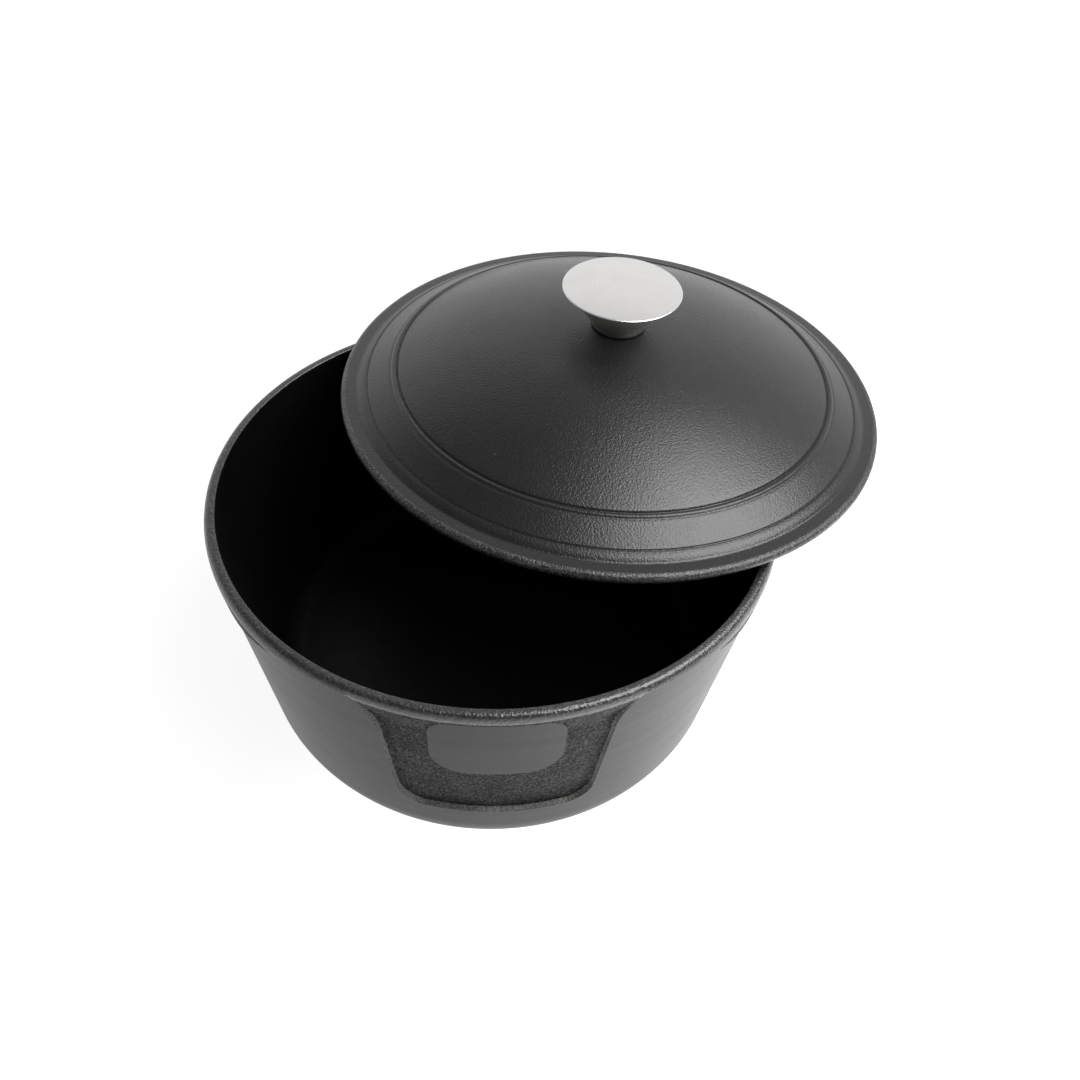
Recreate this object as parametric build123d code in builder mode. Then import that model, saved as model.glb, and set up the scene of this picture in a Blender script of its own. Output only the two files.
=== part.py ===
from build123d import *
import os
from math import asin, cos, degrees, radians, sin, sqrt, tan

# Round cast iron pot with a domed lid. The lid stands ajar: shifted to one side and leaning on the rim.
# Origin at the centre of the base, +Z up, the grip panels face -Y and +Y.

# --- pot, driving dimensions (mm) ---
pot_height = 112.5
wall_rim_radius = 127.06
wall_taper = 8.2
heel_start_height = 11.5
heel_radius = 33.0
base_edge_round = 3.0
rim_edge_round = 3.2
inside_rim_radius = 122.4
inside_edge_round = 0.8
inside_taper = 9.7
floor_thickness = 5.8
floor_round = 11.0
lip_swell = 1.15
lip_front_depth = 3.2
lip_side_depth = 14.0
lip_run_out = 17.0
relief_straight_half = 80.0
relief_bend = (91.0, 6.6)
relief_end = (103.0, 14.5)

# --- grip panels: a sunk field with a D-shaped pad left standing in it ---
panel_sink = 2.7
panel_start_depth = 4.5
panel_full_depth = 20.0
panel_top_half = 58.0
panel_shoulder = (50.6, 12.5)
panel_neck = (47.3, 22.0)
panel_foot_half = 41.2
panel_bottom = 87.5
panel_corner = 12.0
pad_half = 27.0
pad_top = 6.9
pad_bottom = 49.0
pad_top_corner = 8.5
pad_bottom_corner = 16.0

# --- lid, driving dimensions ---
lid_shift = 82.6
lid_shift_azimuth = 47.1
lid_height = 120.35
lid_tilt = 2.4
lid_tilt_azimuth = 52.5
flange_radius = 128.5
flange_thickness = 5.0
flange_edge_round = 2.3
step_foot = (121.0, 0.4)
step_crest = (119.1, 2.05)
step_top = (116.6, 3.1)
bead_foot = (105.4, 9.85)
bead_crest = (103.5, 11.15)
groove_centres = ((101.95, 11.35), (116.35, 3.65))
groove_radius = 0.8
dome_foot = (101.8, 11.1)
dome_radius = 224.6
crown_radius = 13.4
crown_thickness = 5.0
band_inner_foot = (115.2, -2.4)
band_inner_top = (103.4, 5.0)
dome_wall = 4.6
skirt_radius = 120.5
skirt_width = 3.0
skirt_depth = 3.35
skirt_draft = 0.5
seat_radius = 12.5
screw_hole_radius = 3.3

# --- knob and its fixing, heights above the lid's crown ---
gasket_radius = 12.5
gasket_thickness = 0.8
cone_foot_radius = 12.3
cone_waist = (14.7, 5.2)
cone_start = (18.4, 10.0)
cone_end = (26.6, 18.8)
cone_wall = 1.5
cap_radius = 27.2
cap_edge_height = 19.3
cap_edge_round = 0.2
cap_crown = 1.5
cap_plug_radius = 22.2
cap_plug_depth = 1.0
insert_radius = 8.5
insert_bore_radius = 3.1
insert_bore_depth = 13.0
insert_clearance = 0.15
screw_radius = 3.0
screw_engagement = 10.0
head_radius = 5.5
head_height = 3.4
head_round = 1.2
hex_circumradius = 2.31
hex_depth = 2.0
washer_radius = 8.0
washer_bore_radius = 3.2
washer_thickness = 1.2


def wall_radius(depth):
    """Radius of the machined outer wall at a depth below the rim."""
    return wall_rim_radius - depth * tan(radians(wall_taper))


def wall_point(depth, offset=0.0):
    """Point of the wall's section at a depth below the rim, moved outwards by an offset."""
    return (wall_radius(depth) + offset, pot_height - depth)


def below_rim(point):
    """Front view point given as half width and depth below the rim."""
    return (point[0], pot_height - point[1])


def mirrored(point):
    """The same point on the other side of the upright centre line."""
    return (-point[0], point[1])


# --- pot body ---
heel_turn = degrees(asin(sin(radians(wall_taper)) + heel_start_height / heel_radius)) - wall_taper
inside_foot_radius = inside_rim_radius - (pot_height - floor_thickness) * tan(radians(inside_taper))
band_reach = 4.0
panel_floor_depth = pot_height - heel_start_height

# Wall skin that the front and back of the lip are turned down to
with BuildPart() as lip_relief:
    with BuildSketch(Plane.XZ):
        with BuildLine():
            Polyline(wall_point(lip_front_depth), wall_point(lip_front_depth, band_reach),
                     wall_point(lip_run_out + 1, band_reach), wall_point(lip_run_out + 1), close=True)
        make_face()
    revolve(axis=Axis.Z)
    with BuildSketch(Plane.XZ):
        with BuildLine():
            left_top = below_rim((-relief_straight_half, lip_front_depth))
            right_top = below_rim((relief_straight_half, lip_front_depth))
            Line(left_top, right_top)
            right_sweep = ThreePointArc(right_top, below_rim(relief_bend), below_rim(relief_end))
            left_sweep = ThreePointArc(left_top, mirrored(below_rim(relief_bend)), mirrored(below_rim(relief_end)))
            Polyline(right_sweep @ 1, below_rim((relief_end[0] + 4, lip_run_out + 2)),
                     below_rim((-relief_end[0] - 4, lip_run_out + 2)), left_sweep @ 1)
        make_face()
    extrude(amount=2 * wall_rim_radius, both=True, mode=Mode.INTERSECT)

# D-shaped pad, front view
with BuildSketch() as pad_outline:
    with Locations((0, pot_height - (pad_top + pad_bottom) / 2)):
        Rectangle(2 * pad_half, pad_bottom - pad_top)
    fillet(pad_outline.vertices().group_by(Axis.Y)[-1], pad_top_corner)
    fillet(pad_outline.vertices().group_by(Axis.Y)[0], pad_bottom_corner)

# Sunk field around the pad
with BuildPart() as panel_field:
    with BuildSketch(Plane.XZ):
        with BuildLine():
            Polyline(wall_point(panel_start_depth), wall_point(panel_start_depth, band_reach),
                     wall_point(panel_floor_depth, band_reach), wall_point(panel_floor_depth, -panel_sink),
                     wall_point(panel_full_depth, -panel_sink), close=True)
        make_face()
    revolve(axis=Axis.Z)
    with BuildSketch(Plane.XZ):
        with BuildSketch() as field_outline:
            with BuildLine():
                top_right = below_rim((panel_top_half, lip_front_depth))
                bottom_right = below_rim((panel_foot_half, panel_bottom))
                right_arc = ThreePointArc(top_right, below_rim(panel_shoulder), below_rim(panel_neck))
                Polyline(right_arc @ 1, bottom_right, mirrored(bottom_right), mirrored(below_rim(panel_neck)))
                ThreePointArc(mirrored(below_rim(panel_neck)), mirrored(below_rim(panel_shoulder)),
                              mirrored(top_right))
                Line(mirrored(top_right), top_right)
            make_face()
            fillet(field_outline.vertices().group_by(Axis.Y)[0], panel_corner)
        add(pad_outline.sketch, mode=Mode.SUBTRACT)
    extrude(amount=2 * wall_rim_radius, mode=Mode.INTERSECT)

with BuildPart() as pot_body:
    with BuildSketch(Plane.XZ) as shell_profile:
        with BuildLine():
            wall = Line(wall_point(lip_run_out), wall_point(pot_height - heel_start_height))
            heel = JernArc(wall @ 1, wall % 1, heel_radius, -heel_turn)
            Polyline(heel @ 1, (0, 0), (0, floor_thickness), (inside_foot_radius, floor_thickness),
                     (inside_rim_radius, pot_height), wall_point(0, lip_swell),
                     wall_point(lip_side_depth, lip_swell), wall_point(lip_run_out))
        make_face()
        fillet(shell_profile.vertices().sort_by_distance((inside_foot_radius, floor_thickness))[0], floor_round)
        fillet(shell_profile.vertices().sort_by_distance((inside_rim_radius, pot_height))[0], inside_edge_round)
        fillet(shell_profile.vertices().sort_by_distance(wall_point(0, lip_swell))[0], rim_edge_round)
        fillet(shell_profile.vertices().sort_by_distance(heel @ 1)[0], base_edge_round)
    revolve(axis=Axis.Z)
    add(lip_relief.part, mode=Mode.SUBTRACT)
    add(panel_field.part, mode=Mode.SUBTRACT)
    add(panel_field.part.mirror(Plane.XZ), mode=Mode.SUBTRACT)
pot_body.part.label = "pot_body"

# --- lid, in its own leaning frame: origin at the centre of the flange's top edge ---
lid_origin = Vector(
    lid_shift * cos(radians(lid_shift_azimuth)),
    lid_shift * sin(radians(lid_shift_azimuth)),
    lid_height,
)
lid_normal = Vector(
    sin(radians(lid_tilt)) * cos(radians(lid_tilt_azimuth)),
    sin(radians(lid_tilt)) * sin(radians(lid_tilt_azimuth)),
    cos(radians(lid_tilt)),
)
lid_plane = Plane(origin=lid_origin, x_dir=Vector(0, 1, 0).cross(lid_normal), z_dir=lid_normal)
lid_section = Plane(origin=lid_origin, x_dir=lid_plane.x_dir, z_dir=-lid_plane.y_dir)
lid_axis = Axis(lid_origin, lid_normal)

dome_centre = dome_foot[1] - sqrt(dome_radius**2 - dome_foot[0] ** 2)
crown_height = dome_centre + sqrt(dome_radius**2 - crown_radius**2)
seat_height = crown_height - crown_thickness
inner_dome_radius = dome_radius - dome_wall
inner_dome_foot = (band_inner_top[0] - 2, dome_centre + sqrt(inner_dome_radius**2 - (band_inner_top[0] - 2) ** 2))
inner_dome_top = (seat_radius + 1, dome_centre + sqrt(inner_dome_radius**2 - (seat_radius + 1) ** 2))
skirt_foot = -flange_thickness - skirt_depth

with BuildPart() as lid:
    with BuildSketch(lid_section) as lid_profile:
        with BuildLine():
            Line((flange_radius, -flange_thickness), (flange_radius, 0))
            Line((flange_radius, 0), step_foot)
            ThreePointArc(step_foot, step_crest, step_top)
            Line(step_top, bead_foot)
            ThreePointArc(bead_foot, bead_crest, dome_foot)
            RadiusArc(dome_foot, (crown_radius, crown_height), -dome_radius)
            Polyline((crown_radius, crown_height), (0, crown_height), (0, seat_height), (seat_radius, seat_height),
                     inner_dome_top)
            RadiusArc(inner_dome_top, inner_dome_foot, inner_dome_radius)
            Polyline(inner_dome_foot, band_inner_top, band_inner_foot, (skirt_radius - skirt_width, skirt_foot),
                     (skirt_radius - skirt_draft, skirt_foot), (skirt_radius, -flange_thickness),
                     (flange_radius, -flange_thickness))
        make_face()
        fillet(lid_profile.vertices().filter_by(lambda v: v.X > flange_radius - 0.1), flange_edge_round)
    revolve(axis=lid_axis)
    with BuildSketch(lid_section):
        with Locations(*groove_centres):
            Circle(groove_radius)
    revolve(axis=lid_axis, mode=Mode.SUBTRACT)
    with BuildSketch(lid_plane):
        Circle(screw_hole_radius)
    extrude(amount=2 * crown_height, mode=Mode.SUBTRACT)
lid.part.label = "lid"

# --- knob, stacked on the crown of the lid ---
knob_base = lid_plane.offset(crown_height)
knob_section = Plane(origin=knob_base.origin, x_dir=lid_section.x_dir, z_dir=lid_section.z_dir)
cap_under = cone_end[1] - cap_plug_depth

with BuildPart() as knob_gasket:
    with BuildSketch(knob_base):
        Circle(gasket_radius)
        Circle(insert_radius + insert_clearance, mode=Mode.SUBTRACT)
    extrude(amount=gasket_thickness)
knob_gasket.part.label = "knob_gasket"

with BuildPart() as knob_insert:
    with BuildSketch(knob_base):
        Circle(insert_radius)
    extrude(amount=cap_under)
    with BuildSketch(knob_base):
        Circle(insert_bore_radius)
    extrude(amount=insert_bore_depth, mode=Mode.SUBTRACT)
knob_insert.part.label = "knob_insert"

cone_slope = sqrt(1 + ((cone_end[0] - cone_start[0]) / (cone_end[1] - cone_start[1])) ** 2)
cone_wall_across = cone_wall * cone_slope
with BuildPart() as knob_cone:
    with BuildSketch(knob_section):
        with BuildLine():
            ThreePointArc((cone_foot_radius, gasket_thickness), cone_waist, cone_start)
            Polyline(cone_start, cone_end, (cone_end[0] - cone_wall_across, cone_end[1]),
                     (cone_start[0] - cone_wall_across, cone_start[1]))
            ThreePointArc((cone_start[0] - cone_wall_across, cone_start[1]),
                          (cone_waist[0] - (cone_wall + cone_wall_across) / 2, cone_waist[1]),
                          (cone_foot_radius - cone_wall, gasket_thickness))
            Line((cone_foot_radius - cone_wall, gasket_thickness), (cone_foot_radius, gasket_thickness))
        make_face()
    revolve(axis=lid_axis)
knob_cone.part.label = "knob_cone"

with BuildPart() as knob_cap:
    with BuildSketch(knob_section) as cap_profile:
        with BuildLine():
            Polyline((0, cap_edge_height + cap_crown), (0, cap_under), (cap_plug_radius, cap_under),
                     (cap_plug_radius, cone_end[1]), (cap_radius, cone_end[1]), (cap_radius, cap_edge_height))
            RadiusArc((cap_radius, cap_edge_height), (0, cap_edge_height + cap_crown),
                      -(cap_radius**2 + cap_crown**2) / (2 * cap_crown))
        make_face()
        fillet(cap_profile.vertices().filter_by(lambda v: v.X > cap_radius - 0.1), cap_edge_round)
    revolve(axis=lid_axis)
knob_cap.part.label = "knob_cap"

# --- screw and washer, from inside the lid ---
washer_plane = lid_plane.offset(seat_height)
head_plane = lid_plane.offset(seat_height - washer_thickness)

with BuildPart() as lid_washer:
    with BuildSketch(washer_plane):
        Circle(washer_radius)
        Circle(washer_bore_radius, mode=Mode.SUBTRACT)
    extrude(amount=-washer_thickness)
lid_washer.part.label = "lid_washer"

with BuildPart() as lid_screw:
    with BuildSketch(head_plane):
        Circle(head_radius)
    extrude(amount=-head_height)
    fillet(lid_screw.edges().filter_by(GeomType.CIRCLE).sort_by(lid_axis)[0], head_round)
    with BuildSketch(head_plane):
        Circle(screw_radius)
    extrude(amount=washer_thickness + crown_thickness + screw_engagement)
    with BuildSketch(lid_plane.offset(seat_height - washer_thickness - head_height)):
        RegularPolygon(hex_circumradius, 6)
    extrude(amount=hex_depth, mode=Mode.SUBTRACT)
lid_screw.part.label = "lid_screw"

os.makedirs("parts", exist_ok=True)
export_step(pot_body.part, "parts/pot_body.step")
export_step(lid.part, "parts/lid.step")
export_step(knob_gasket.part, "parts/knob_gasket.step")
export_step(knob_insert.part, "parts/knob_insert.step")
export_step(knob_cone.part, "parts/knob_cone.step")
export_step(knob_cap.part, "parts/knob_cap.step")
export_step(lid_washer.part, "parts/lid_washer.step")
export_step(lid_screw.part, "parts/lid_screw.step")
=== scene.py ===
from math import cos, degrees, radians, sin, sqrt, tan

import bpy
import numpy as np
from mathutils import Matrix, Vector


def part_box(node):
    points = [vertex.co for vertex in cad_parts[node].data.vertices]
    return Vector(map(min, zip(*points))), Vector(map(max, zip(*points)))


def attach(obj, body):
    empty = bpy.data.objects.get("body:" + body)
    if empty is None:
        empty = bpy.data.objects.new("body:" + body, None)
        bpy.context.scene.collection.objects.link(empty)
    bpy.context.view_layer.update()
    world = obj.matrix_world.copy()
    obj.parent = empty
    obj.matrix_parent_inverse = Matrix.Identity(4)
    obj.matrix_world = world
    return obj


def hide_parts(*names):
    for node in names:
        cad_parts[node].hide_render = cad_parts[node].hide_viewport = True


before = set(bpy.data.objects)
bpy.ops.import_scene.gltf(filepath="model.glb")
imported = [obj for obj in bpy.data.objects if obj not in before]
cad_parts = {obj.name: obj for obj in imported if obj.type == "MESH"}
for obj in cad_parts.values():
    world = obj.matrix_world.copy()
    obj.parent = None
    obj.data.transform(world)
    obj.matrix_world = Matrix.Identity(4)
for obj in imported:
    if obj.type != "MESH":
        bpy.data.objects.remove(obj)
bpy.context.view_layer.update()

MM = 0.001
BODY_POT, BODY_LID = "pot", "lid_set"
SHARP_ANGLE = radians(38)

# --- pot, in millimetres; depths are counted down from the rim, angles are from the front ---
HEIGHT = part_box("pot_body")[1][2] / MM
WALL_RADIUS = 127.06
WALL_TAPER = radians(8.2)
HEEL_DEPTH = 101.0
HEEL_RADIUS = 33.0
HEEL_END = 1.6             # height above the base at which the base's rounding starts
INSIDE_RADIUS = 122.4
INSIDE_TAPER = radians(9.7)
INSIDE_ROUND = 0.8
FLOOR_HEIGHT = 5.8
FLOOR_ROUND = 11.0
LIP_SWELL = 1.15           # how far the cast lip stands out of the machined wall
LIP_ROUND = (3.8, 6.0)     # width and depth of the rim's rounding
LIP_FRONT, LIP_SIDE = 3.2, 14.0
LIP_RISE = (38.0, 57.0)    # degrees from the front between which the lip deepens
LIP_RUN_OUT = (0.7, 3.0)   # depth over which the lip meets the wall, in front and at the sides
LIP_FADE = (0.0, 7.0)      # depths between which the lip's swell ends over a panel
PANEL_SINK = 2.7
PANEL_FILLET = 1.9
PANEL_TOP, PANEL_BOTTOM = -3.0, 87.5
PANEL_FADE = (6.0, 20.0)   # depths between which the panel reaches its full sink
PANEL_HALF_ANGLE = 31.0
PANEL_NECK, PANEL_WAIST, PANEL_FOOT = 58.0, 47.3, 41.2
PANEL_WAIST_DEPTH = 22.0
PANEL_CORNER = 12.0
LEDGE_WIDTHS = (0.5, 1.0)
LEDGE_TURN = (72.0, 86.0)  # depths between which the light edge widens
PAD_HALF = 27.0
PAD_TOP, PAD_BOTTOM = 6.9, 49.0
PAD_TOP_ROUND, PAD_BOTTOM_ROUND = 8.5, 16.0

# --- pot's mesh ---
FINE_STEP, SIDE_STEP = 0.5, 0.8    # millimetres over the panels, degrees at the sides
PANEL_RADIUS = 120.0               # radius at which the fine columns are FINE_STEP apart
SIDE_ANGLE = 60                    # degrees from the front beyond which no point is shifted sideways
RIM_ROWS = 16                      # rows of the rim's rounding
FINE_TOP, FINE_BOTTOM = 6.45, 90   # depths between which the rows are FINE_STEP apart
LOW_STEP, HEEL_ROWS = 1.2, 10
INNER_RIM_ROWS = 7                 # rows at the inside's end that have the rim's material
RELIEF_ROWS = 5                    # and those of them that have cast relief
SNAP_OUTLINE, SNAP_LEDGE, SNAP_LIP = 0.3, 0.24, 0.26   # how near a point is when it is moved onto a line
EDGE_SLACK = 0.02
TOLERANCE = 1e-6
WALL, ROUGH, INSIDE, RIM, LEDGE = range(5)   # the pot's material slots

# --- cast relief: heights in millimetres, and the size of the bumps ---
CAST_SIZE, CAST_SEED = 1.15, 3
PANEL_RELIEF, RIM_RELIEF = 0.1, 0.04
WAVE_RELIEF, WAVE_SIZE, WAVE_SEED = 0.06, 7.0, 8
LIP_RELIEF_SHARE = 0.45
EDGE_RELIEF, EDGE_SIZE, EDGE_SEED = 0.035, 2.4, 21
LID_RELIEF, LID_WAVE_SIZE, LID_SEED = 0.012, 9.0, 25
EDGE_RELIEF_FROM = (123.0, 126.5)  # radii between which the flange's relief begins

# --- lid frame: origin at the centre of the flange's top edge, +Z along the lid's axis ---
LID_SHIFT, LID_SHIFT_AZIMUTH = 82.6, radians(47.1)
LID_HEIGHT = 120.35
LID_TILT, LID_TILT_AZIMUTH = radians(2.4), radians(52.5)
FLANGE_RADIUS = 128.5
FLANGE_THICKNESS = 5.0
SKIRT_DROP = 3.35
DOME_RADIUS = 224.6
DOME_FOOT = (101.8, 11.1)
DOME_EDGE = 101.0
CROWN_RADIUS = 13.4
CROWN_WALL = 5.0
LID_WALL = 4.6
SCREW_HOLE = 3.3
EDGE_CAST_FROM = 125.6     # radius outside which the flange is rough cast
LID_COLUMNS, KNOB_COLUMNS, GASKET_COLUMNS = 620, 192, 128

# --- knob, in the lid's frame, heights above the crown ---
GASKET_TOP = 0.8
CAP_UNDER, CAP_INSIDE, CAP_CROWN = 18.8, 17.8, 20.8

# --- studio ---
FLOOR_REACH = 6.0
# painted pool of light on the floor: its centre and fade distances in metres, then its glow strengths
GLOW_CENTRE, GLOW_NEAR, GLOW_FAR = (0.42, -0.15, 0.0), 0.15, 0.55
GLOW_INNER, GLOW_OUTER = 2.4, 0.91
WORLD_BRIGHT_SIDE = (0.05, 0.85, -0.52)
WORLD_TURN = (-0.2, 0.45)
WORLD_DIM, WORLD_BRIGHT = 0.2, 1.1
KEY_AT, KEY_SIZE, KEY_POWER = (1.1, -0.34, 1.79), 1.75, 83
LIGHT_AIM = (0, 0, 0.08)
SENSOR_MM, LENS_MM = 36.0, 37.667
CAMERA_AT = (-0.006566, -0.370291, 0.459367)
CAMERA_TURN, CAMERA_TIP, CAMERA_ROLL = radians(-4.369), radians(44.10), radians(3.088)


def smooth(start, end, x):
    """0 before start, 1 after end, smooth between."""
    t = np.clip((x - start) / (end - start), 0.0, 1.0)
    return t * t * (3 - 2 * t)


def grain(points, size, seed):
    """Smooth random relief from -1 to 1 at each point, with bumps about size apart."""
    p = points / size
    cell = np.floor(p).astype(np.int64)
    f = p - cell
    f = f * f * (3 - 2 * f)
    total = np.zeros(len(points))
    for octant in range(8):
        step = np.array([(octant >> k) & 1 for k in range(3)])
        c = cell + step
        key = (c[:, 0] * 73856093) ^ (c[:, 1] * 19349663) ^ (c[:, 2] * 83492791) ^ (seed * 265443)
        key = ((key ^ (key >> 13)) * 1274126177) & 0x7FFFFFFF
        value = ((key ^ (key >> 15)) & 0xFFFF) / 32767.5 - 1
        total += value * np.prod(np.where(step == 1, f, 1 - f), axis=1)
    return total


def cast_relief(points, size, seed):
    """Relief of a sand casting: bumps of the given size with finer grain on them."""
    return 0.65 * grain(points, size, seed) + 0.35 * grain(points, size * 0.45, seed + 1)


def arc(a, b, c, n):
    """n + 1 points along the circle from a through b to c."""
    a, b, c = (np.array(p, float) for p in (a, b, c))
    m = np.array([2 * (b - a), 2 * (c - a)])
    centre = np.linalg.solve(m, [b @ b - a @ a, c @ c - a @ a])
    start, middle, end = (np.arctan2(*(p - centre)[::-1]) for p in (a, b, c))
    middle = (middle - start) % (2 * np.pi)
    end = (end - start) % (2 * np.pi)
    if middle > end:
        end -= 2 * np.pi
    turn = start + np.linspace(0, end, n + 1)
    radius = np.linalg.norm(a - centre)
    return centre + radius * np.column_stack([np.cos(turn), np.sin(turn)])


def corner(a, b, c, radius, n):
    """n + 1 points of the rounding of the corner at b, on the way from a to c."""
    a, b, c = (np.array(p, float) for p in (a, b, c))
    to_a = (a - b) / np.linalg.norm(a - b)
    to_c = (c - b) / np.linalg.norm(c - b)
    half = np.arccos(np.clip(to_a @ to_c, -1, 1)) / 2
    reach = radius / np.tan(half)
    middle = (to_a + to_c) / np.linalg.norm(to_a + to_c)
    centre = b + middle * radius / np.sin(half)
    return arc(b + to_a * reach, centre - middle * radius, b + to_c * reach, n)


def run(a, b, step):
    """Points from a to b at most step apart."""
    n = max(1, int(np.ceil(np.hypot(b[0] - a[0], b[1] - a[1]) / step)))
    return np.linspace(a, b, n + 1)


def chain(*stretches):
    """One line of points from several that meet end to end."""
    line = [np.array(stretches[0], float)]
    for s in stretches[1:]:
        s = np.array(s, float)
        line.append(s[1:] if np.allclose(s[0], line[-1][-1]) else s)
    return np.vstack(line)


def new_object(name, points, faces, slots, materials, body, place=Matrix()):
    """A smooth-shaded mesh piece, points in millimetres in its own frame, riding a body."""
    mesh = bpy.data.meshes.new(name)
    mesh.from_pydata((points * MM).tolist(), [], faces)
    for m in materials:
        mesh.materials.append(m)
    mesh.polygons.foreach_set("material_index", np.asarray(slots, dtype=np.int32))
    mesh.shade_smooth()
    mesh.set_sharp_from_angle(angle=SHARP_ANGLE)
    mesh.update()
    obj = bpy.data.objects.new(name, mesh)
    bpy.context.scene.collection.objects.link(obj)
    obj.matrix_world = place
    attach(obj, body)
    return obj


def ring_faces(rows, columns, closed):
    """Quads between rings of points. They face outwards where the profile runs down the outside."""
    faces = []
    for i in range(rows if closed else rows - 1):
        a, b = i * columns, ((i + 1) % rows) * columns
        for j in range(columns):
            k = (j + 1) % columns
            faces.append((a + j, a + k, b + k, b + j))
    return faces


def lathe(name, profile, columns, relief, material, body, place, closed=False):
    """A turned piece from (radius, height) points. An open profile starts and ends on the axis."""
    turn = np.arange(columns) * 2 * np.pi / columns
    inner = profile if closed else profile[1:-1]
    r, z = inner[:, 0][:, None], inner[:, 1][:, None]
    points = np.stack([r * np.cos(turn), r * np.sin(turn), z + 0 * turn], axis=-1).reshape(-1, 3)
    if relief:
        tangent = np.gradient(inner, axis=0)
        tangent /= np.linalg.norm(tangent, axis=1)[:, None]
        out = np.stack([tangent[:, 1][:, None] * np.cos(turn), tangent[:, 1][:, None] * np.sin(turn),
                        -tangent[:, 0][:, None] + 0 * turn], axis=-1).reshape(-1, 3)
        points = points + out * relief(points)[:, None]
    faces = ring_faces(len(inner), columns, closed)
    if not closed:
        top, bottom = len(points), len(points) + 1
        last = (len(inner) - 1) * columns
        points = np.vstack([points, [[0, 0, profile[0][1]], [0, 0, profile[-1][1]]]])
        faces += [(top, (j + 1) % columns, j) for j in range(columns)]
        faces += [(bottom, last + j, last + (j + 1) % columns) for j in range(columns)]
    return new_object(name, points, faces, [0] * len(faces), [material], body, place)


# --- materials ---
MIX_COLOUR_A, MIX_COLOUR_B, MIX_COLOUR_OUT = 6, 7, 2   # a Mix node's colour sockets, which share their names


def nodes_of(name):
    """A new material, its node tree and Principled shader, and a helper that adds nodes."""
    material = bpy.data.materials.new(name)
    material.use_nodes = True
    tree = material.node_tree

    def add(kind, inputs=None, **settings):
        node = tree.nodes.new("ShaderNode" + kind)
        for key, value in settings.items():
            setattr(node, key, value)
        for key, value in (inputs or {}).items():
            if isinstance(value, bpy.types.NodeSocket):
                tree.links.new(value, node.inputs[key])
            else:
                node.inputs[key].default_value = value
        return node

    return material, tree, tree.nodes["Principled BSDF"], add


def ramp(add, factor, stops):
    """A colour ramp over (position, grey or colour) stops."""
    node = add("ValToRGB", {"Fac": factor})
    elements = node.color_ramp.elements
    while len(elements) < len(stops):
        elements.new(0.5)
    for element, (position, colour) in zip(elements, stops):
        element.position = position
        rgb = (colour,) * 3 if isinstance(colour, float) else colour
        element.color = (*rgb, 1)
    return node.outputs["Color"]


def stretched(add, scale):
    """Object coordinates stretched per axis, in features per metre."""
    where = add("TexCoord").outputs["Object"]
    return add("Mapping", {"Vector": where, "Scale": scale}).outputs["Vector"]


def noise(add, vector, scale, detail=3.0, roughness=0.55):
    """Fractal noise over a vector, around 0.5."""
    node = add("TexNoise", {"Vector": vector, "Scale": scale, "Detail": detail, "Roughness": roughness})
    return node.outputs["Fac"]


def spot(add, where, centre, radius):
    """1 inside a small blemish at a point, fading out over its radius."""
    away = add("VectorMath", {0: where, 1: [c * MM for c in centre]}, operation="DISTANCE").outputs["Value"]
    return add("MapRange", {"Value": away, "From Min": 0.4 * radius * MM, "From Max": radius * MM,
                            "To Min": 1.0, "To Max": 0.0}).outputs["Result"]


def blemish(add, where, colour, spots, shade):
    """The colour with a few small spots of another shade."""
    for centre, radius in spots:
        inside = spot(add, where, centre, radius)
        mixed = add("Mix", {"Factor": inside}, data_type="RGBA")
        mixed.inputs[MIX_COLOUR_B].default_value = (shade, shade, shade, 1)
        mixed.id_data.links.new(colour, mixed.inputs[MIX_COLOUR_A])
        colour = mixed.outputs[MIX_COLOUR_OUT]
    return colour


def cast_iron(name, dark, light, roughness, grain_mm, bump, specular=0.5, stops=(0.36, 0.62), cloud=0.3,
              marks=(), detail=2.0, spread=0.1, depth=0.0006):
    """Rough cast surface: a fine grain of grain_mm in colour, gloss and bump, soft clouds and a few marks."""
    material, tree, shader, add = nodes_of(name)
    where = add("TexCoord").outputs["Object"]
    coarse = noise(add, where, 60.0, 3.0)
    fine = noise(add, where, 1000.0 / grain_mm, detail, 0.6)
    mottle = add("Mix", {"Factor": cloud, "A": fine, "B": coarse}).outputs["Result"]
    colour = ramp(add, mottle, [(stops[0], dark), (stops[1], light)])
    for shade, spots in marks:
        colour = blemish(add, where, colour, spots, shade)
    tree.links.new(colour, shader.inputs["Base Color"])
    rough = ramp(add, mottle, [(0.35, roughness + spread), (0.65, roughness - spread)])
    tree.links.new(rough, shader.inputs["Roughness"])
    bumped = add("Bump", {"Height": fine, "Strength": bump, "Distance": depth})
    tree.links.new(bumped.outputs["Normal"], shader.inputs["Normal"])
    shader.inputs["Metallic"].default_value = 0.0
    shader.inputs["Specular IOR Level"].default_value = specular
    return material


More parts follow.
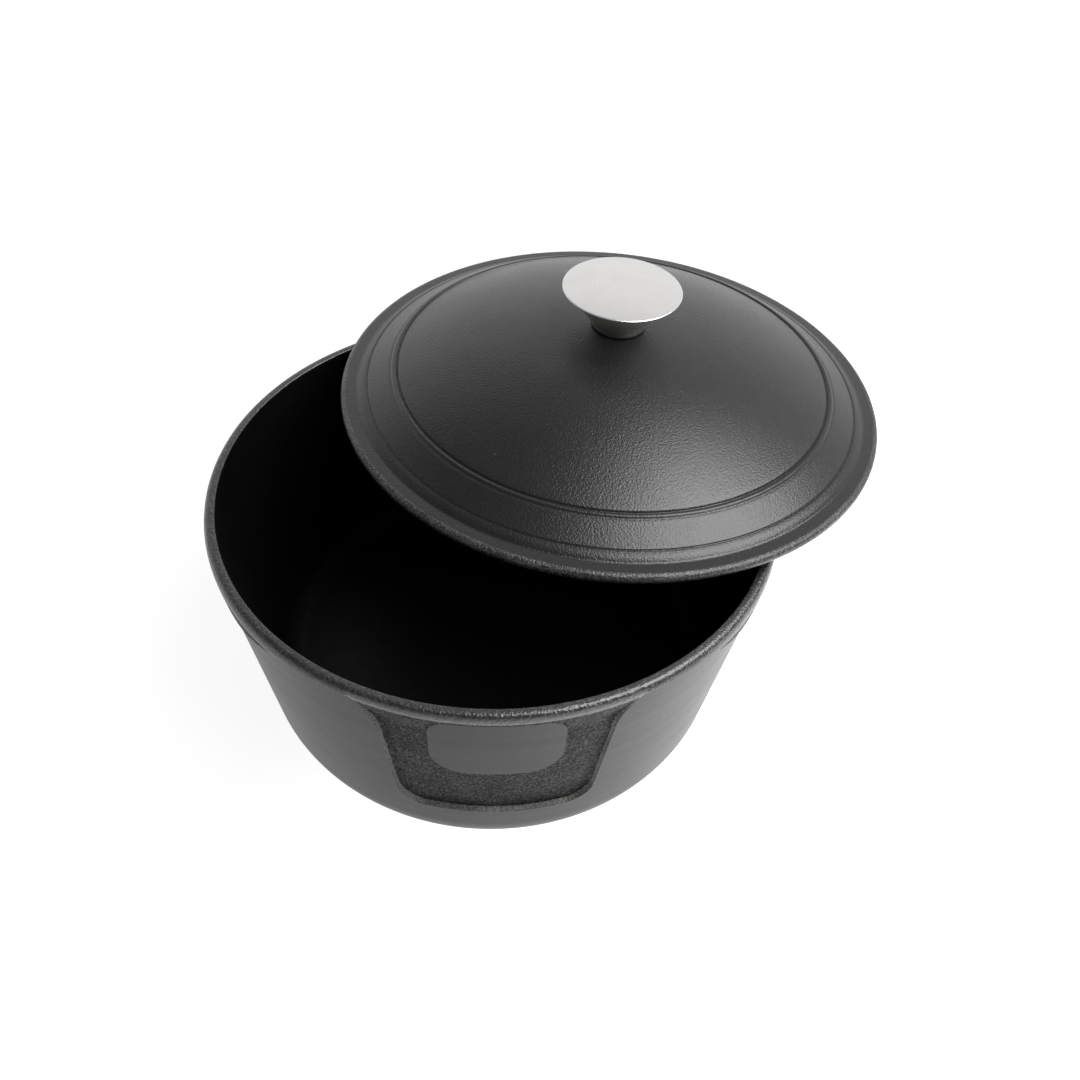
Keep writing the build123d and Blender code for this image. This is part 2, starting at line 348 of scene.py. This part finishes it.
def machined_iron(name, dark, light, roughness):
    """Turned iron: faint lines round the pot, fine grain and very soft patches of tone."""
    material, tree, shader, add = nodes_of(name)
    where = add("TexCoord").outputs["Object"]
    lines = noise(add, stretched(add, (9.0, 9.0, 2200.0)), 1.0, 3.0, 0.7)
    bands = noise(add, stretched(add, (3.0, 3.0, 190.0)), 1.0, 1.0)
    specks = noise(add, where, 1400.0, 2.0, 0.6)
    patches = noise(add, where, 30.0, 3.0)
    tone = add("Mix", {"Factor": 0.5, "A": specks, "B": lines}).outputs["Result"]
    tone = add("Mix", {"Factor": 0.22, "A": tone, "B": bands}).outputs["Result"]
    tone = add("Mix", {"Factor": 0.2, "A": tone, "B": patches}).outputs["Result"]
    colour = ramp(add, tone, [(0.38, dark), (0.62, light)])
    tree.links.new(colour, shader.inputs["Base Color"])
    rough = ramp(add, tone, [(0.3, roughness + 0.05), (0.7, roughness - 0.05)])
    tree.links.new(rough, shader.inputs["Roughness"])
    bumped = add("Bump", {"Height": tone, "Strength": 0.3, "Distance": 0.0001})
    tree.links.new(bumped.outputs["Normal"], shader.inputs["Normal"])
    shader.inputs["Metallic"].default_value = 0.75
    return material


def turned_steel(name, dark, light, roughness, line_mm, bump):
    """Satin steel with fine lines round the lid's axis."""
    material, tree, shader, add = nodes_of(name)
    where = add("TexCoord").outputs["Object"]
    x, y, z = add("SeparateXYZ", {"Vector": where}).outputs
    flat = add("CombineXYZ", {"X": x, "Y": y}).outputs["Vector"]
    radius = add("VectorMath", {0: flat}, operation="LENGTH").outputs["Value"]
    across = add("Math", {0: radius, 1: z}, operation="SUBTRACT").outputs["Value"]
    lines = add("TexNoise", {"W": across, "Scale": 1000.0 / line_mm, "Detail": 3.0}, noise_dimensions="1D")
    clouds = noise(add, where, 90.0, 2.0)
    tone = add("Mix", {"Factor": 0.35, "A": lines.outputs["Fac"], "B": clouds}).outputs["Result"]
    colour = ramp(add, tone, [(0.3, dark), (0.7, light)])
    tree.links.new(colour, shader.inputs["Base Color"])
    rough = ramp(add, tone, [(0.3, roughness + 0.05), (0.7, roughness - 0.05)])
    tree.links.new(rough, shader.inputs["Roughness"])
    bumped = add("Bump", {"Height": lines.outputs["Fac"], "Strength": bump, "Distance": 0.00003})
    tree.links.new(bumped.outputs["Normal"], shader.inputs["Normal"])
    shader.inputs["Metallic"].default_value = 1.0
    return material


# Marks in the lid's frame, in millimetres: shade, then (centre, radius) of each.
LID_MARKS = (
    (0.003, (((-20.9, 14.0, 34.1), 1.1), ((17.4, -57.3, 27.4), 0.9), ((18.9, -60.4, 26.4), 0.9),
             ((20.4, -63.6, 25.3), 0.8), ((-27.5, 10.5, 33.2), 0.8))),
    (0.03, (((-56.9, -72.2, 15.8), 0.7), ((-27.5, -45.2, 29.2), 0.5), ((-34.9, -61.4, 24.1), 0.5))),
)
lid_iron = cast_iron("lid_cast_iron", (0.003, 0.003, 0.0032), (0.009, 0.009, 0.0094), 0.33, 0.85, 0.4, 0.5,
                     marks=LID_MARKS, detail=1.0, spread=0.03, depth=0.00042)
edge_iron = cast_iron("lid_edge_cast", (0.003, 0.003, 0.003), (0.04, 0.039, 0.038), 0.4, 1.0, 0.6, 0.6,
                      (0.42, 0.6), detail=1.0, spread=0.05)
rough_iron = cast_iron("pot_rough_cast", (0.001, 0.0009, 0.0008), (0.066, 0.0615, 0.058), 0.57, 1.0, 0.6,
                       0.14, (0.46, 0.72), 0.2, detail=1.0, depth=0.0007)
rim_iron = cast_iron("pot_rim_cast", (0.002, 0.002, 0.002), (0.035, 0.034, 0.033), 0.34, 1.0, 0.5, 0.8,
                     (0.46, 0.72), 0.2, detail=1.0, spread=0.05, depth=0.0006)
# the ledge's lighter colour is partly burnished iron and partly painted highlight where the up-facing edge
# catches light
ledge_burnish_highlight_iron = cast_iron("pot_ledge_burnish_painted_highlight", (0.03, 0.029, 0.028), (0.1, 0.097, 0.093), 0.55, 0.9, 0.7, 0.5,
                       (0.4, 0.6))
# the inside is black iron, darkened further as painted shade of the deep, lidded inside
inside_iron = cast_iron("pot_inside_black_and_painted_shade", (0.0006, 0.0006, 0.0006), (0.0016, 0.0016, 0.0015), 0.4, 1.2, 0.1, 0.2)
wall_iron = machined_iron("pot_turned_iron", (0.017, 0.0168, 0.0166), (0.03, 0.0297, 0.0294), 0.42)
cap_steel = turned_steel("knob_cap_steel", (0.62, 0.612, 0.607), (0.7, 0.692, 0.687), 0.3, 0.35, 0.1)
cone_steel = turned_steel("knob_cone_steel", (0.52, 0.51, 0.49), (0.68, 0.67, 0.65), 0.42, 0.4, 0.35)
fixing_steel = turned_steel("fixing_steel", (0.4, 0.4, 0.4), (0.55, 0.55, 0.55), 0.35, 0.5, 0.2)
gasket_rubber = cast_iron("knob_gasket_rubber", (0.004, 0.004, 0.004), (0.008, 0.008, 0.008), 0.6, 0.7, 0.2,
                          0.3)


# --- pot body ---
def wall_radius(depth):
    """Radius of the machined outside at each depth, with the round heel."""
    straight = WALL_RADIUS - depth * tan(WALL_TAPER)
    slope = np.clip(sin(WALL_TAPER) + (depth - HEEL_DEPTH) / HEEL_RADIUS, -1, 0.95)
    foot = WALL_RADIUS - HEEL_DEPTH * tan(WALL_TAPER)
    heel = foot - HEEL_RADIUS * (cos(WALL_TAPER) - np.sqrt(1 - slope * slope))
    return np.where(depth > HEEL_DEPTH, heel, straight)


def off_middle(azimuth):
    """Degrees from the middle of the nearer panel, at the front or the back."""
    return np.minimum(abs(azimuth), 180 - abs(azimuth))


def lip_depth(azimuth):
    """Depth of the lip's lower edge: thin over the grip panels, deep at the sides."""
    return LIP_FRONT + (LIP_SIDE - LIP_FRONT) * smooth(*LIP_RISE, off_middle(azimuth))


def mirrored(right):
    """A closed outline from its right half."""
    return np.vstack([right, right[::-1] * (-1, 1)])


def panel_outline():
    """Closed outline of the sunk field as (half width, depth) points."""
    waist = (PANEL_WAIST, PANEL_WAIST_DEPTH)
    neck = run((60.2, PANEL_TOP), (PANEL_NECK, LIP_FRONT), 1.0)
    shoulder = arc((PANEL_NECK, LIP_FRONT), (50.6, 12.5), waist, 16)
    foot = corner(waist, (PANEL_FOOT, PANEL_BOTTOM), (-PANEL_FOOT, PANEL_BOTTOM), PANEL_CORNER, 16)
    return mirrored(chain(neck, shoulder, foot))


def pad_outline():
    """Closed outline of the D-shaped pad."""
    top = corner((0, PAD_TOP), (PAD_HALF, PAD_TOP), (PAD_HALF, PAD_BOTTOM), PAD_TOP_ROUND, 12)
    foot = corner((PAD_HALF, PAD_TOP), (PAD_HALF, PAD_BOTTOM), (0, PAD_BOTTOM), PAD_BOTTOM_ROUND, 20)
    return mirrored(chain(top, foot))


def outline_distance(points, outline):
    """Signed distance to a closed outline, negative inside, and the nearest outline point."""
    best = np.full(len(points), 1e9)
    nearest = np.zeros_like(points)
    inside = np.zeros(len(points), bool)
    for p, q in zip(outline, np.roll(outline, -1, axis=0)):
        edge = q - p
        length = edge @ edge
        if length < 1e-12:
            continue
        t = np.clip(((points - p) @ edge) / length, 0, 1)
        foot = p + t[:, None] * edge
        gap = np.hypot(*(points - foot).T)
        closer = gap < best
        best[closer] = gap[closer]
        nearest[closer] = foot[closer]
        crosses = (p[1] > points[:, 1]) != (q[1] > points[:, 1])
        if q[1] != p[1]:
            across = (q[0] - p[0]) * (points[:, 1] - p[1]) / (q[1] - p[1]) + p[0]
            inside ^= crosses & (points[:, 0] < across)
    return np.where(inside, -best, best), nearest


def snap(flat, outline, reach, inset=0.0):
    """Moves the points near an outline, or near a line inset from it, onto that line, for a clean edge."""
    gap, nearest = outline_distance(flat, outline)
    close = abs(gap + inset) < reach
    away = flat[close] - nearest[close]
    length = np.maximum(np.hypot(*away.T), 1e-9)
    share = np.broadcast_to(inset, gap.shape)[close] / length
    flat[close] = nearest[close] + away * share[:, None]


def ledge_width(depth):
    """Width of the lighter edge just inside the panel's outline, widest along its bottom; its colour is
    partly burnished iron and partly painted highlight.
    """
    return LEDGE_WIDTHS[0] + (LEDGE_WIDTHS[1] - LEDGE_WIDTHS[0]) * smooth(*LEDGE_TURN, depth)


def around(profile, azimuth):
    """One ring of points round the pot's axis for each (radius, height) point."""
    theta = np.radians(azimuth)
    return np.stack([profile[:, :1] * np.sin(theta), -profile[:, :1] * np.cos(theta),
                     profile[:, 1:] + 0 * theta], axis=-1)


def pot_rows():
    """Depths and azimuths of the outside's points, close together over the panels."""
    fine = np.arange(-PANEL_HALF_ANGLE, PANEL_HALF_ANGLE, degrees(FINE_STEP / PANEL_RADIUS))
    side = np.arange(PANEL_HALF_ANGLE, 180 - PANEL_HALF_ANGLE, SIDE_STEP)
    azimuth = np.concatenate([fine, side, fine + 180, side + 180])
    depth = np.concatenate([LIP_ROUND[1] * (1 - np.cos(np.linspace(0, np.pi / 2, RIM_ROWS + 1))),
                            np.arange(FINE_TOP, FINE_BOTTOM, FINE_STEP),
                            np.arange(FINE_BOTTOM, HEEL_DEPTH, LOW_STEP),
                            np.linspace(HEEL_DEPTH, HEIGHT - HEEL_END, HEEL_ROWS)])
    return depth, (azimuth + 180) % 360 - 180


def outside_rings(depth, azimuth):
    """Rings of the outside, with masks of the rough field, of the whole field and of the lip."""
    d, az = np.meshgrid(depth, azimuth, indexing="ij")
    back = abs(az) > 90
    turned = np.where(back, (az + 360) % 360 - 180, az)
    flat = np.column_stack([(wall_radius(d) * np.sin(np.radians(turned))).ravel(), d.ravel()])
    near = ((abs(turned) < PANEL_HALF_ANGLE) & (d > PANEL_TOP) & (d < PANEL_BOTTOM + 3)).ravel()
    work = flat[near]
    panel, pad = panel_outline(), pad_outline()
    snap(work, panel, SNAP_OUTLINE)
    snap(work, panel, SNAP_LEDGE, ledge_width(work[:, 1]))
    snap(work, pad, SNAP_OUTLINE)
    flat[near] = work
    d = flat[:, 1].reshape(d.shape)
    lip = lip_depth(az)
    close = (abs(d - lip) < SNAP_LIP) & ~near.reshape(d.shape)
    d = np.where(close, lip, d)
    radius = wall_radius(d)
    across = np.where(near, flat[:, 0], (radius * np.sin(np.radians(turned))).ravel()).reshape(d.shape)
    angle = np.arcsin(np.clip(across / radius, -1, 1))
    angle = np.where(abs(turned) > SIDE_ANGLE, np.radians(turned), angle)

    # the lip's swell, the rim's rounding, and the sunk field with its fillet
    run_out = LIP_RUN_OUT[0] + (LIP_RUN_OUT[1] - LIP_RUN_OUT[0]) * smooth(*LIP_RISE, off_middle(az))
    swell = LIP_SWELL * (1 - smooth(0, 1, (d - lip) / run_out))
    edge = LIP_ROUND[0] * (np.sqrt(1 - np.clip(1 - d / LIP_ROUND[1], 0, 1) ** 2) - 1)
    to_panel, _ = outline_distance(work, panel)
    to_pad, _ = outline_distance(work, pad)
    inward, panel_gap = np.full((2, d.size), -1.0)
    inward[near] = np.minimum(-to_panel, to_pad)
    panel_gap[near] = -to_panel
    inward, panel_gap = inward.reshape(d.shape), panel_gap.reshape(d.shape)
    t = np.clip(inward / PANEL_FILLET, 0, 1)
    share = np.sqrt(1 - (1 - t) ** 2)
    cast = LIP_SWELL * (1 - smooth(*LIP_FADE, d)) - PANEL_SINK * smooth(*PANEL_FADE, d)
    offset = swell + (cast - swell) * share
    is_field = inward > -TOLERANCE
    is_rough = is_field & ((panel_gap > ledge_width(d) - EDGE_SLACK) | (d < lip))

    side_sign = np.where(back, -1.0, 1.0)
    outward = np.stack([side_sign * np.sin(angle), -side_sign * np.cos(angle), 0 * d], axis=-1)
    r = radius + offset + edge
    outside = np.stack([side_sign * r * np.sin(angle), -side_sign * r * np.cos(angle), HEIGHT - d], axis=-1)
    at = outside.reshape(-1, 3)
    relief = (PANEL_RELIEF * cast_relief(at * (1, 1, 0.5), CAST_SIZE, CAST_SEED)
              + WAVE_RELIEF * grain(at, WAVE_SIZE, WAVE_SEED))
    rough_share = np.clip(np.where(is_field, share, 0) + LIP_RELIEF_SHARE * swell / LIP_SWELL, 0, 1)
    outside = outside + outward * (relief.reshape(d.shape) * rough_share)[..., None]
    return outside, is_rough, is_field, d <= lip + TOLERANCE


def inside_profile():
    """(radius, height) points from the middle of the floor up the inside and over to the rim's rounding."""
    foot = INSIDE_RADIUS - (HEIGHT - FLOOR_HEIGHT) * tan(INSIDE_TAPER)
    rim_top = WALL_RADIUS + LIP_SWELL - LIP_ROUND[0]
    low = corner((0, FLOOR_HEIGHT), (foot, FLOOR_HEIGHT), (INSIDE_RADIUS, HEIGHT), FLOOR_ROUND, 14)
    high = corner((foot, FLOOR_HEIGHT), (INSIDE_RADIUS, HEIGHT), (rim_top, HEIGHT), INSIDE_ROUND, 5)
    return chain(run((2, FLOOR_HEIGHT), low[0], 3.0), low, run(low[-1], high[0], 2.5),
                 high, run(high[-1], (rim_top, HEIGHT), 0.9))[:-1]


def base_profile(depth):
    """(radius, height) points from the outside's last row round to the middle of the base."""
    start = float(wall_radius(np.array(depth)))
    edge = arc((start, HEIGHT - depth), (start - 0.95, 0.42), (start - 2.6, 0), 5)
    return chain(edge, run((start - 2.6, 0), (2, 0), 6.0))[1:]


def whole_faces(mask):
    """Faces of the outside whose four corners are all in a mask of its points."""
    both = mask & np.roll(mask, -1, axis=1)
    return both[:-1] & both[1:]


def pot_mesh():
    """Inside, rim, outside and base as one closed skin: points, faces and material slots."""
    depth, azimuth = pot_rows()
    columns = len(azimuth)
    outside, is_rough, is_field, is_lip = outside_rings(depth, azimuth)
    inner = around(inside_profile(), azimuth)
    rim = inner[-RELIEF_ROWS:]
    rim[..., 2] += RIM_RELIEF * cast_relief(rim.reshape(-1, 3), CAST_SIZE, CAST_SEED).reshape(rim.shape[:2])
    rings = np.concatenate([inner, outside, around(base_profile(depth[-1]), azimuth)])
    points = np.vstack([rings.reshape(-1, 3), [[0, 0, FLOOR_HEIGHT], [0, 0, 0]]])
    faces = [f[::-1] for f in ring_faces(len(rings), columns, False)]

    n_inner, n_out = len(inner), len(depth)
    slots = np.full((len(rings) - 1, columns), WALL, np.int32)
    # the inside's colour carries painted shade
    slots[:n_inner - INNER_RIM_ROWS] = INSIDE
    slots[n_inner - INNER_RIM_ROWS:n_inner] = RIM
    wall = slots[n_inner:n_inner + n_out - 1]
    rough_face = whole_faces(is_rough)
    wall[rough_face] = ROUGH
    # painted highlight, partly burnished iron: the field's edge takes the lighter ledge colour
    wall[whole_faces(is_field) & ~rough_face] = LEDGE
    wall[whole_faces(is_lip)] = ROUGH
    slots[n_inner - 1:n_inner + RIM_ROWS - 1] = RIM
    slots[n_inner + n_out - 1:] = WALL

    floor_centre, base_centre = len(points) - 2, len(points) - 1
    last = (len(rings) - 1) * columns
    faces += [(floor_centre, j, (j + 1) % columns) for j in range(columns)]
    faces += [(base_centre, last + (j + 1) % columns, last + j) for j in range(columns)]
    return points, faces, np.concatenate([slots.ravel(), np.full(columns, INSIDE), np.full(columns, WALL)])


points, faces, slots = pot_mesh()
pot_materials = [wall_iron, rough_iron, inside_iron, rim_iron, ledge_burnish_highlight_iron]
pot = new_object("pot_casting", points, faces, slots, pot_materials, BODY_POT)
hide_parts("pot_body")

# --- lid and knob, turned about the lid's own axis ---
lid_normal = Vector((sin(LID_TILT) * cos(LID_TILT_AZIMUTH), sin(LID_TILT) * sin(LID_TILT_AZIMUTH),
                     cos(LID_TILT)))
lid_x = Vector((0, 1, 0)).cross(lid_normal).normalized()
lid_y = lid_normal.cross(lid_x)
lid_at = Vector((LID_SHIFT * cos(LID_SHIFT_AZIMUTH), LID_SHIFT * sin(LID_SHIFT_AZIMUTH), LID_HEIGHT)) * MM
LID_PLACE = Matrix.Translation(lid_at) @ Matrix((lid_x, lid_y, lid_normal)).transposed().to_4x4()

dome_centre = DOME_FOOT[1] - sqrt(DOME_RADIUS**2 - DOME_FOOT[0] ** 2)
crown = dome_centre + sqrt(DOME_RADIUS**2 - CROWN_RADIUS**2)


def dome_height(radius, shell=DOME_RADIUS):
    """Height of the dome's outside, or of a shell inside it."""
    return dome_centre + sqrt(shell**2 - radius**2)


def dome_arc(outer, inner, shell, n):
    """Points of the dome from one radius to another."""
    return [(r, dome_height(r, shell)) for r in np.linspace(outer, inner, n + 1)]


skirt_foot = -FLANGE_THICKNESS - SKIRT_DROP
inner_shell = DOME_RADIUS - LID_WALL
lid_profile = chain(
    run((SCREW_HOLE, crown), (CROWN_RADIUS, crown), 2.5),
    dome_arc(CROWN_RADIUS, DOME_EDGE, DOME_RADIUS, 50),
    arc((DOME_EDGE, dome_height(DOME_EDGE)), (101.4, dome_height(DOME_EDGE) - 0.35), (101.6, 10.75), 3),
    arc((101.6, 10.75), (101.95, 10.45), (102.3, 10.7), 4),
    arc((102.3, 10.7), (103.3, 11.1), (104.4, 10.6), 8),
    arc((104.4, 10.6), (104.75, 10.1), (105.5, 9.85), 4),
    run((105.5, 9.85), (115.8, 3.56), 1.1),
    arc((115.8, 3.56), (116.0, 3.1), (116.3, 2.85), 4),
    arc((116.3, 2.85), (116.6, 2.9), (116.9, 3.05), 3),
    arc((116.9, 3.05), (119.2, 2.0), (120.9, 0.6), 9),
    arc((120.9, 0.6), (121.4, 0.42), (122.0, 0.36), 3),
    run((122.0, 0.36), (126.0, 0.1), 1.2),
    arc((126.0, 0.1), (127.8, -0.65), (FLANGE_RADIUS, -2.45), 8),
    arc((FLANGE_RADIUS, -2.45), (127.8, -4.25), (126.0, -FLANGE_THICKNESS), 7),
    run((126.0, -FLANGE_THICKNESS), (120.5, -FLANGE_THICKNESS), 2.5),
    run((120.5, -FLANGE_THICKNESS), (120.0, skirt_foot), 1.2),
    run((120.0, skirt_foot), (117.5, skirt_foot), 1.3),
    run((117.5, skirt_foot), (115.2, -2.4), 2.0),
    run((115.2, -2.4), (103.4, 5.0), 3.0),
    dome_arc(101.4, 13.5, inner_shell, 18),
    run((12.5, crown - CROWN_WALL), (SCREW_HOLE, crown - CROWN_WALL), 3.0),
    run((SCREW_HOLE, crown - CROWN_WALL), (SCREW_HOLE, crown), 2.5),
)[:-1]


def lid_relief(points):
    """Cast relief round the flange's edge, and very slight waves everywhere."""
    edge = smooth(*EDGE_RELIEF_FROM, np.hypot(points[:, 0], points[:, 1]))
    return (EDGE_RELIEF * edge * cast_relief(points, EDGE_SIZE, EDGE_SEED)
            + LID_RELIEF * grain(points, LID_WAVE_SIZE, LID_SEED))


lid = lathe("lid_casting", lid_profile[::-1], LID_COLUMNS, lid_relief, lid_iron, BODY_LID,
            LID_PLACE, closed=True)
lid.data.materials.append(edge_iron)
for face in lid.data.polygons:
    if face.center.xy.length > EDGE_CAST_FROM * MM:
        face.material_index = 1
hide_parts("lid")

gasket_profile = np.array([(8.65, 0.0), (12.2, 0.0), (12.45, 0.15), (12.5, 0.4), (12.45, 0.65),
                           (12.2, GASKET_TOP), (8.65, GASKET_TOP)])
cone_profile = chain(
    arc((12.3, GASKET_TOP), (14.7, 5.2), (18.4, 10.0), 18),
    run((18.4, 10.0), (26.6, CAP_UNDER), 0.8),
    run((26.6, CAP_UNDER), (24.5, CAP_UNDER), 0.8),
    run((24.5, CAP_UNDER), (16.3, 10.0), 0.8),
    arc((16.3, 10.0), (12.9, 5.2), (10.8, GASKET_TOP), 14),
    run((10.8, GASKET_TOP), (12.3, GASKET_TOP), 0.5),
)[:-1]
cap_profile = chain(
    arc((0, CAP_CROWN), (13.2, 20.46), (26.5, 19.38), 22),
    arc((26.5, 19.38), (26.9, 19.28), (27.15, 19.12), 4),
    arc((27.15, 19.12), (27.2, 19.0), (27.1, 18.9), 4),
    arc((27.1, 18.9), (26.9, 18.83), (26.6, CAP_UNDER), 3),
    run((26.6, CAP_UNDER), (22.2, CAP_UNDER), 1.5),
    run((22.2, CAP_UNDER), (22.2, CAP_INSIDE), 0.6),
    run((22.2, CAP_INSIDE), (0, CAP_INSIDE), 3.0),
)
for node, profile, columns, material, slot_name, closed in (
    ("knob_gasket", gasket_profile, GASKET_COLUMNS, gasket_rubber, "gasket_rubber", True),
    ("knob_cone", cone_profile, KNOB_COLUMNS, cone_steel, "knob_dark_steel", True),
    ("knob_cap", cap_profile, KNOB_COLUMNS, cap_steel, "knob_steel", False),
):
    raised = profile[::-1] + (0, crown)
    piece = lathe(node + "_turned", raised, columns, None, material, BODY_LID, LID_PLACE, closed)
    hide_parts(node)

for node in ("knob_insert", "lid_screw", "lid_washer"):
    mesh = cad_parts[node].data
    mesh.materials.clear()
    mesh.materials.append(fixing_steel)


# --- floor, surroundings, light, camera ---
def glowing_floor():
    """A wide white floor whose glow is a painted pool of light, strongest under and to the right of the pot.
    """
    mesh = bpy.data.meshes.new("floor")
    corners = [(x * FLOOR_REACH, y * FLOOR_REACH, 0) for x, y in ((-1, -1), (1, -1), (1, 1), (-1, 1))]
    mesh.from_pydata(corners, [], [(0, 1, 2, 3)])
    obj = bpy.data.objects.new("floor", mesh)
    bpy.context.scene.collection.objects.link(obj)
    material, tree, shader, add = nodes_of("floor_white_painted_glow")
    away = add("VectorMath", {0: add("TexCoord").outputs["Object"], 1: GLOW_CENTRE},
               operation="DISTANCE").outputs["Value"]
    # painted pool of light: the glow fades from strong near its centre to weaker far away
    glow = add("MapRange", {"Value": away, "From Min": GLOW_NEAR, "From Max": GLOW_FAR, "To Min": GLOW_INNER,
                            "To Max": GLOW_OUTER}, interpolation_type="SMOOTHSTEP").outputs["Result"]
    tree.links.new(glow, shader.inputs["Emission Strength"])
    shader.inputs["Base Color"].default_value = (0.1, 0.1, 0.1, 1)
    shader.inputs["Roughness"].default_value = 0.9
    shader.inputs["Emission Color"].default_value = (1, 1, 1, 1)
    mesh.materials.append(material)
    return obj


def studio_world():
    """Soft white surroundings, which light the object most from behind, and are plain white to look at."""
    world = bpy.data.worlds.new("studio")
    bpy.context.scene.world = world
    world.use_nodes = True
    tree = world.node_tree
    background = tree.nodes["Background"]
    background.inputs["Color"].default_value = (1, 1, 1, 1)
    along = tree.nodes.new("ShaderNodeVectorMath")
    along.operation = "DOT_PRODUCT"
    along.inputs[1].default_value = WORLD_BRIGHT_SIDE
    tree.links.new(tree.nodes.new("ShaderNodeTexCoord").outputs["Generated"], along.inputs[0])
    tone = tree.nodes.new("ShaderNodeMapRange")
    tone.interpolation_type = "SMOOTHSTEP"
    for key, value in (("From Min", WORLD_TURN[0]), ("From Max", WORLD_TURN[1]),
                       ("To Min", WORLD_DIM), ("To Max", WORLD_BRIGHT)):
        tone.inputs[key].default_value = value
    tree.links.new(along.outputs["Value"], tone.inputs["Value"])
    seen = tree.nodes.new("ShaderNodeMapRange")
    tree.links.new(tree.nodes.new("ShaderNodeLightPath").outputs["Is Camera Ray"], seen.inputs["Value"])
    tree.links.new(tone.outputs["Result"], seen.inputs["To Min"])
    tree.links.new(seen.outputs["Result"], background.inputs["Strength"])


def softbox(name, position, size, power):
    """A square soft light, aimed at the pot."""
    data = bpy.data.lights.new(name, "AREA")
    data.size = size
    data.energy = power
    lamp = bpy.data.objects.new(name, data)
    bpy.context.scene.collection.objects.link(lamp)
    lamp.location = position
    aim = Vector(LIGHT_AIM) - Vector(position)
    lamp.rotation_euler = aim.to_track_quat("-Z", "Y").to_euler()


floor = glowing_floor()
studio_world()
softbox("key_right", KEY_AT, KEY_SIZE, KEY_POWER)

camera_data = bpy.data.cameras.new("camera")
camera_data.sensor_width = SENSOR_MM
camera_data.lens = LENS_MM
camera_data.clip_start = 0.01
camera = bpy.data.objects.new("camera", camera_data)
bpy.context.scene.collection.objects.link(camera)
camera.matrix_world = (Matrix.Translation(CAMERA_AT) @ (Matrix.Rotation(CAMERA_TURN, 4, "Z")
                       @ Matrix.Rotation(CAMERA_TIP, 4, "X")) @ Matrix.Rotation(CAMERA_ROLL, 4, "Z"))
bpy.context.scene.camera = camera
bpy.context.scene.view_settings.view_transform = "Standard"
